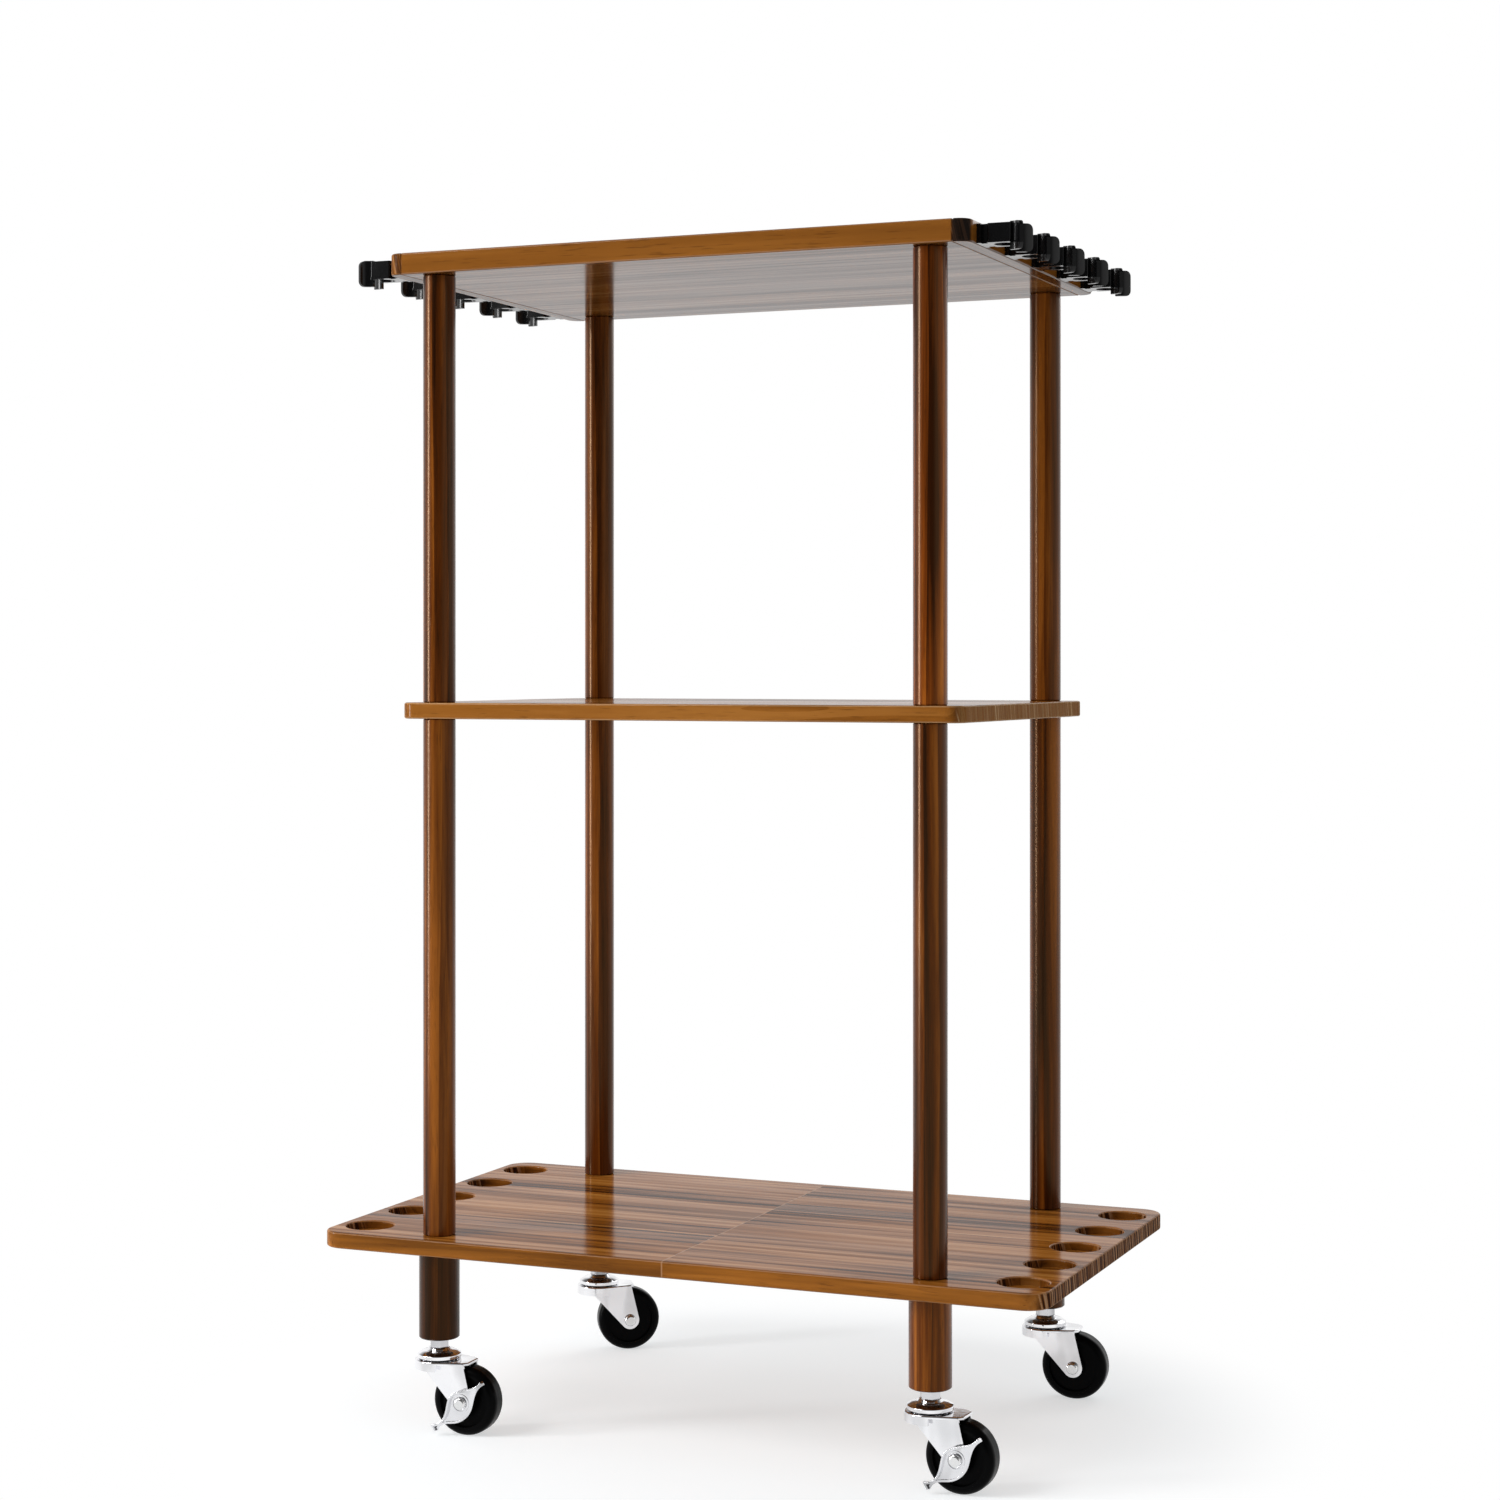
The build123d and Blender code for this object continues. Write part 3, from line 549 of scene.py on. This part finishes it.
def buildWheelRings():
    # Mould rings on the sides and a parting line round the tread, about the wheel's own axle
    number, vector = "NodeSocketFloat", "NodeSocketVector"
    tree, given, result = newGroup(
        "wheelRings", [("Vector", vector, None), ("Centre", vector, None), ("Axle", vector, None)],
        [("Tread", number), ("Height", number)])
    local = vectorCalc(tree, "SUBTRACT", given.outputs["Vector"], given.outputs["Centre"]).outputs[0]
    along = vectorCalc(tree, "DOT_PRODUCT", local, given.outputs["Axle"]).outputs["Value"]
    outward = vectorCalc(tree, "CROSS_PRODUCT", local, given.outputs["Axle"]).outputs[0]
    radius = vectorCalc(tree, "LENGTH", outward).outputs["Value"]
    rings = place(tree, "ShaderNodeTexWave",
                  {"Vector": place(tree, "ShaderNodeCombineXYZ", {0: radius}).outputs[0],
                   "Scale": wheelLooks["ringScale"]},
                  wave_type="BANDS", bands_direction="X", wave_profile="SIN").outputs["Fac"]
    parting = fadeOut(tree, calc(tree, "ABSOLUTE", along), *wheelLooks["partingLine"])
    tread = remap(tree, radius, *wheelLooks["treadEdge"])
    onSides = calc(tree, "MULTIPLY", calc(tree, "SUBTRACT", 1.0, tread), wheelLooks["ringHeight"])
    height = calc(tree, "ADD", calc(tree, "MULTIPLY", rings, onSides), calc(tree, "MULTIPLY", parting, tread))
    tree.links.new(tread, result.inputs["Tread"])
    tree.links.new(height, result.inputs["Height"])
    return tree


def wheelMaterial(corner):
    look = wheelLooks
    joint = joints[f"roll_{corner}"]
    material, tree, shader = newMaterial(f"wheelPlastic_{corner}")
    coordinates = place(tree, "ShaderNodeTexCoord").outputs["Object"]
    rings = useGroup(tree, wheelRings, {"Vector": coordinates, "Centre": joint["pos_m"], "Axle": joint["axis"]})
    marks = useGroup(tree, handlingMarks, {"Vector": coordinates, "Amount": look["marks"]})
    scuffs = remap(tree, noise(tree, coordinates, look["scuffScale"], detail=5.0, roughness=0.7),
                   *look["scuffEdge"])
    onTread = calc(tree, "MULTIPLY", rings.outputs["Tread"], calc(tree, "MULTIPLY", scuffs, look["treadDust"]))
    dusty = calc(tree, "MAXIMUM", onTread, calc(tree, "MULTIPLY", marks.outputs["Mask"], look["sideDust"]))
    tree.links.new(blendColour(tree, dusty, look["black"], look["dust"]), shader.inputs["Base Color"])
    dulled = calc(tree, "MULTIPLY_ADD", dusty, look["dustRoughness"], look["roughness"])
    tree.links.new(calc(tree, "ADD", marks.outputs["Roughness"], dulled), shader.inputs["Roughness"])
    tree.links.new(calc(tree, "MULTIPLY", rings.outputs["Tread"], look["treadCoat"]), shader.inputs["Coat Weight"])
    setPlain(shader, {"Coat Roughness": look["coatRoughness"], "Coat IOR": look["coatIor"],
                      "Specular IOR Level": look["specular"]})
    addBump(tree, shader, *look["bump"], rings.outputs["Height"])
    return material


finishes = {name: metalMaterial(name, **look) for name, look in metals.items()}
finishes["clipPlastic"] = clipMaterial()
finishes["beechDowels"] = boardMaterial("beechDowels", "X", 2.0, dowelLooks)
finishedParts = {
    "platedSteel": ("caster_fork", "caster_cup"),
    "leverSteelPaintedShade": ("brake_lever",),
    "stemSteelPaintedShade": ("caster_stem",),
    "zincSteel": ("caster_axle", "clip_screws", "post_studs", "top_studs"),
    "ballSteel": ("swivel_balls",),
    "insertBrass": ("threaded_inserts",),
    "clipPlastic": ("rod_clip",),
    "beechDowels": ("rail_dowels", "board_dowels"),
}
for finish, starts in finishedParts.items():
    for name in cadNodes:
        if name.startswith(starts):
            dress(name, finishes[finish])
wheelRings = buildWheelRings()
for corner in corners:
    dress(f"caster_wheel_{corner}", wheelMaterial(corner))
print("metal and plastic dressed")


# Pressed and moulded parts, with their sharp edges rounded over

roundedEdges = {
    "rod_clip": 0.0005,
    "caster_fork": 0.0004,
    "caster_cup": 0.0003,
    "caster_stem": 0.0005,
    "brake_lever": 0.0003,
    "caster_axle": 0.0003,
}
rounding = {
    "mergeWithin": 0.00001,
    "flatWithin": math.radians(1),
    "sharpFrom": math.radians(35),
    "segments": 2,
}


def selectOnly(*pieces):
    bpy.ops.object.select_all(action="DESELECT")
    for piece in pieces:
        piece.select_set(True)
    if pieces:
        bpy.context.view_layer.objects.active = pieces[0]


def roundedPiece(nodeName, width):
    selectOnly(cadNodes[nodeName])
    bpy.ops.object.duplicate()
    piece = bpy.context.object
    piece.name = f"finished_{nodeName}"
    del piece["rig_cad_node"]
    bpy.ops.object.parent_clear(type="CLEAR")
    bpy.ops.object.mode_set(mode="EDIT")
    bpy.ops.mesh.select_all(action="SELECT")
    bpy.ops.mesh.remove_doubles(threshold=rounding["mergeWithin"])
    bpy.ops.mesh.dissolve_limited(angle_limit=rounding["flatWithin"])
    bpy.ops.object.mode_set(mode="OBJECT")
    edge = piece.modifiers.new("roundedEdge", "BEVEL")
    edge.width = width
    edge.segments = rounding["segments"]
    edge.limit_method = "ANGLE"
    edge.angle_limit = rounding["sharpFrom"]
    bpy.ops.object.modifier_apply(modifier=edge.name)
    bpy.ops.object.shade_smooth_by_angle(angle=rounding["sharpFrom"])
    level = piece.modifiers.new("flatFaces", "WEIGHTED_NORMAL")   # broad faces stay flat beside the rounded edge
    level.keep_sharp = True
    bpy.ops.object.modifier_apply(modifier=level.name)
    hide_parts(nodeName)
    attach(piece, bodyOf[nodeName])


for name in list(cadNodes):
    for start, width in roundedEdges.items():
        if name.startswith(start):
            roundedPiece(name, width)


clipScrew = {
    "count": 5,
    "pitch": 0.064,
    "headRadius": 0.0035,
    "headHeight": 0.0022,
    "headRounding": 0.0013,
    "headSides": 48,
    "roundingSegments": 5,
    "shankRadius": 0.00175,
    "tipShare": 0.2,            # of the shank's length
    "tipWidth": 0.15,           # of the shank's width
    "crossLength": 0.0038,
    "crossWidth": 0.0008,
    "crossDepth": 0.0012,
    "crossTurn": 23,            # degrees from one screw's cross to the next
}


def pickFaces(piece, test):
    for vertex in piece.data.vertices:
        vertex.select = False
    for edge in piece.data.edges:
        edge.select = False
    for face in piece.data.polygons:
        face.select = test(face)


def screwPattern(shankLength):
    # A pan head screw along +X, its seat at X = 0
    look = clipScrew
    selectOnly()
    bpy.ops.mesh.primitive_cylinder_add(vertices=look["headSides"], radius=look["headRadius"],
                                        depth=look["headHeight"], location=(look["headHeight"] / 2, 0, 0),
                                        rotation=(0, math.radians(90), 0))
    screw = bpy.context.object
    bpy.ops.object.transform_apply(location=True, rotation=True, scale=True)
    pickFaces(screw, lambda face: face.normal.x > 0.9)
    bpy.ops.object.mode_set(mode="EDIT")
    bpy.ops.mesh.select_mode(type="FACE")
    bpy.ops.mesh.bevel(offset=look["headRounding"], segments=look["roundingSegments"], affect="EDGES")
    bpy.ops.object.mode_set(mode="OBJECT")
    pickFaces(screw, lambda face: face.normal.x < -0.9)
    bpy.ops.object.mode_set(mode="EDIT")
    bpy.ops.mesh.inset(thickness=look["headRadius"] - look["shankRadius"])
    for share in (1 - look["tipShare"], look["tipShare"]):
        bpy.ops.mesh.extrude_region_move(TRANSFORM_OT_translate={"value": (-shankLength * share, 0, 0)})
    bpy.ops.transform.resize(value=(1, look["tipWidth"], look["tipWidth"]), center_override=(0, 0, 0))
    bpy.ops.object.mode_set(mode="OBJECT")
    for turn in (45, 135):
        selectOnly()
        bpy.ops.mesh.primitive_cube_add(size=1, location=(look["headHeight"], 0, 0),
                                        rotation=(math.radians(turn), 0, 0))
        cutter = bpy.context.object
        cutter.scale = (2 * look["crossDepth"], look["crossLength"], look["crossWidth"])
        bpy.ops.object.transform_apply(location=True, rotation=True, scale=True)
        selectOnly(screw)
        cut = screw.modifiers.new("crossRecess", "BOOLEAN")
        cut.object = cutter
        bpy.ops.object.modifier_apply(modifier=cut.name)
        bpy.data.objects.remove(cutter)
    return screw


def clipScrews(side, sign):
    low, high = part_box(f"clip_screws_{side}")
    headTop = high[0] if sign > 0 else low[0]
    seat = headTop - sign * clipScrew["headHeight"]
    pattern = screwPattern(high[0] - low[0] - clipScrew["headHeight"])
    copies = []
    for number in range(clipScrew["count"]):
        selectOnly(pattern)
        bpy.ops.object.duplicate()
        screw = bpy.context.object
        screw.rotation_euler = (math.radians(clipScrew["crossTurn"] * number), 0,
                                0 if sign > 0 else math.radians(180))
        fromMiddle = number - (clipScrew["count"] - 1) / 2
        screw.location = (seat, fromMiddle * clipScrew["pitch"], (low[2] + high[2]) / 2)
        copies.append(screw)
    bpy.data.objects.remove(pattern)
    selectOnly(*copies)
    bpy.ops.object.transform_apply(location=True, rotation=True, scale=True)
    bpy.ops.object.join()
    screws = bpy.context.object
    screws.name = f"finished_clip_screws_{side}"
    bpy.ops.object.shade_smooth_by_angle(angle=rounding["sharpFrom"])
    screws.data.materials.clear()
    screws.data.materials.append(finishes["zincSteel"])
    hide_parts(f"clip_screws_{side}")
    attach(screws, "rack")


clipScrews("left", -1)
clipScrews("right", 1)
print("pressed and moulded parts finished")


# Studio

studio = {
    "floorSize": 14.0,
    "paper": 0.85,           # how much light the paper gives back
    "paperRoughness": 0.85,
    "paperFibres": 420.0,
    "fibreStops": (0.3, 0.7),
    "fibreTones": ((0.95, 0.975, 0.99), (0.96, 0.985, 1.0)),
    "floorTone": 0.58,       # what the camera sees of the paper's light and shade
    "floorGlow": 0.575,      # seen by the camera and in reflections only
    "glowTone": (0.985, 1.0, 1.01, 1.0),
    "clearRadius": 0.27,     # the floor keeps its shade up to here and fades to white outside
    "fadeWidth": 0.18,
    "worldLight": 0.42,
    "darkRoom": (0.12, 0.12, 0.12),   # the room above and in front, as polished parts see it
    "ceilingEdge": (0.30, 0.62),
    "frontEdge": (-0.45, -0.85),
    "aim": (0, 0, 0.3),
    "key": {"place": (-2.3, -1.6, 0.6), "wide": 0.35, "tall": 1.8, "power": 51},
    "front": {"place": (-1.6, -1.9, 2.2), "wide": 1.3, "tall": 1.1, "power": 38},
    "back": {"place": (0.8, 2.3, 1.8), "wide": 1.4, "tall": 1.4, "power": 12},
}


def buildFloor():
    selectOnly()
    bpy.ops.mesh.primitive_plane_add(size=studio["floorSize"], location=(0, 0, 0))
    floor = bpy.context.object
    floor.name = "studioFloor"
    material, tree, shader = newMaterial("studioPaper")
    coordinates = place(tree, "ShaderNodeTexCoord").outputs["Object"]
    fibres = ramp(tree, noise(tree, coordinates, studio["paperFibres"], detail=3.0), studio["fibreStops"],
                  studio["fibreTones"])
    setPlain(shader, {"Roughness": studio["paperRoughness"], "Specular IOR Level": 0.0,
                      "Emission Color": studio["glowTone"]})
    path = place(tree, "ShaderNodeLightPath")
    seen = calc(tree, "MAXIMUM", path.outputs["Is Camera Ray"], path.outputs["Is Glossy Ray"])
    tone = calc(tree, "MULTIPLY_ADD", seen, studio["floorTone"] - studio["paper"], studio["paper"])
    tree.links.new(enlarge(tree, fibres, tone), shader.inputs["Base Color"])
    tree.links.new(calc(tree, "MULTIPLY", seen, studio["floorGlow"]), shader.inputs["Emission Strength"])
    away = vectorCalc(tree, "LENGTH", coordinates).outputs["Value"]
    fade = remap(tree, away, studio["clearRadius"], studio["clearRadius"] + studio["fadeWidth"])
    white = place(tree, "ShaderNodeEmission", {"Color": (1, 1, 1, 1), "Strength": 1.0})
    mixed = place(tree, "ShaderNodeMixShader",
                  {0: calc(tree, "MULTIPLY", fade, seen), 1: shader.outputs[0], 2: white.outputs[0]})
    tree.links.new(mixed.outputs[0], tree.nodes["Material Output"].inputs["Surface"])
    floor.data.materials.append(material)


def buildWorld():
    world = bpy.data.worlds.new("studioWorld")
    bpy.context.scene.world = world
    world.use_nodes = True
    tree = world.node_tree
    path = place(tree, "ShaderNodeLightPath")
    seen = calc(tree, "MAXIMUM", path.outputs["Is Camera Ray"],
                calc(tree, "MAXIMUM", path.outputs["Is Glossy Ray"], path.outputs["Is Transmission Ray"]))
    # Polished parts see the room darker above and in front of the white backdrop
    toward = place(tree, "ShaderNodeSeparateXYZ", {0: place(tree, "ShaderNodeTexCoord").outputs["Generated"]})
    dim = calc(tree, "MAXIMUM", remap(tree, toward.outputs["Z"], *studio["ceilingEdge"]),
               remap(tree, toward.outputs["Y"], *studio["frontEdge"]))
    inGloss = calc(tree, "MULTIPLY", dim, path.outputs["Is Glossy Ray"])
    light = tree.nodes["Background"]
    tree.links.new(blendColour(tree, inGloss, (1.0, 1.0, 1.0), studio["darkRoom"]), light.inputs["Color"])
    tree.links.new(calc(tree, "MULTIPLY_ADD", seen, 1.0 - studio["worldLight"], studio["worldLight"]),
                   light.inputs["Strength"])


def softBox(name):
    box = studio[name]
    lamp = bpy.data.lights.new(f"{name}Box", "AREA")
    lamp.shape = "RECTANGLE"
    lamp.size = box["wide"]
    lamp.size_y = box["tall"]
    lamp.energy = box["power"]
    holder = bpy.data.objects.new(f"{name}Box", lamp)
    bpy.context.scene.collection.objects.link(holder)
    holder.location = box["place"]
    holder.rotation_euler = (Vector(studio["aim"]) - Vector(box["place"])).to_track_quat("-Z", "Y").to_euler()


buildFloor()
buildWorld()
for name in ("key", "front", "back"):
    softBox(name)
print("studio built")


# Camera, at the photograph's place

photoCamera = {
    "place": (0.8348, -2.0038, 0.5683),
    "turn": 22.84,           # degrees about the upright
    "lens": 68.6,
    "sensor": 36.0,
    "shift": (0.0077, -0.0575),
}

lens = bpy.data.cameras.new("photoCamera")
lens.lens = photoCamera["lens"]
lens.sensor_width = photoCamera["sensor"]
lens.shift_x, lens.shift_y = photoCamera["shift"]
camera = bpy.data.objects.new("photoCamera", lens)
bpy.context.scene.collection.objects.link(camera)
camera.location = photoCamera["place"]
camera.rotation_euler = (math.radians(90), 0, math.radians(photoCamera["turn"]))
bpy.context.scene.camera = camera
bpy.context.scene.view_settings.view_transform = "Standard"

print("scene ready")
